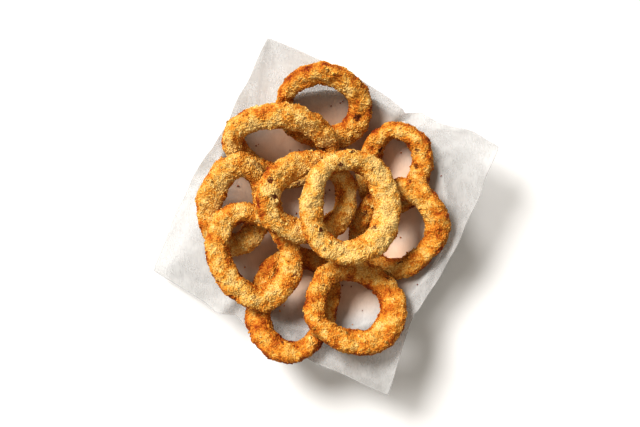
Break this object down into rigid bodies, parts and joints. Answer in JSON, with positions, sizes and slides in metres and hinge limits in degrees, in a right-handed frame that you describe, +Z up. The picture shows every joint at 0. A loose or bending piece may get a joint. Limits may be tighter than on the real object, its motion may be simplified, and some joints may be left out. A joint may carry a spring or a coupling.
{
  "type": "onion rings side",
  "caption": "Breaded, deep-fried onion rings heaped on a square of greaseproof paper in a shallow round bowl.",
  "frame": {"origin": "on the table, in the middle of the bowl's flat foot", "axes": "+Z up out of the bowl, +Y towards the far side of the heap, +X to the right"},
  "size_m": [0.2412, 0.2477, 0.0717],
  "materials": {
    "bowl_glaze": "plain white glaze",
    "greaseproof_paper": "thin, faintly grey and slightly translucent, with soft creases",
    "fried_crust": "rough golden-brown breadcrumb crust with darker toasted specks"
  },
  "bodies": {
    "root": {"bowl": "bowl_glaze", "paper_liner": "greaseproof_paper", "onion_ring_01": "fried_crust", "onion_ring_02": "fried_crust", "onion_ring_03": "fried_crust", "onion_ring_04": "fried_crust", "onion_ring_05": "fried_crust", "onion_ring_06": "fried_crust", "onion_ring_07": "fried_crust", "onion_ring_08": "fried_crust", "onion_ring_09": "fried_crust", "onion_ring_10": "fried_crust"}
  },
  "joints": []
}
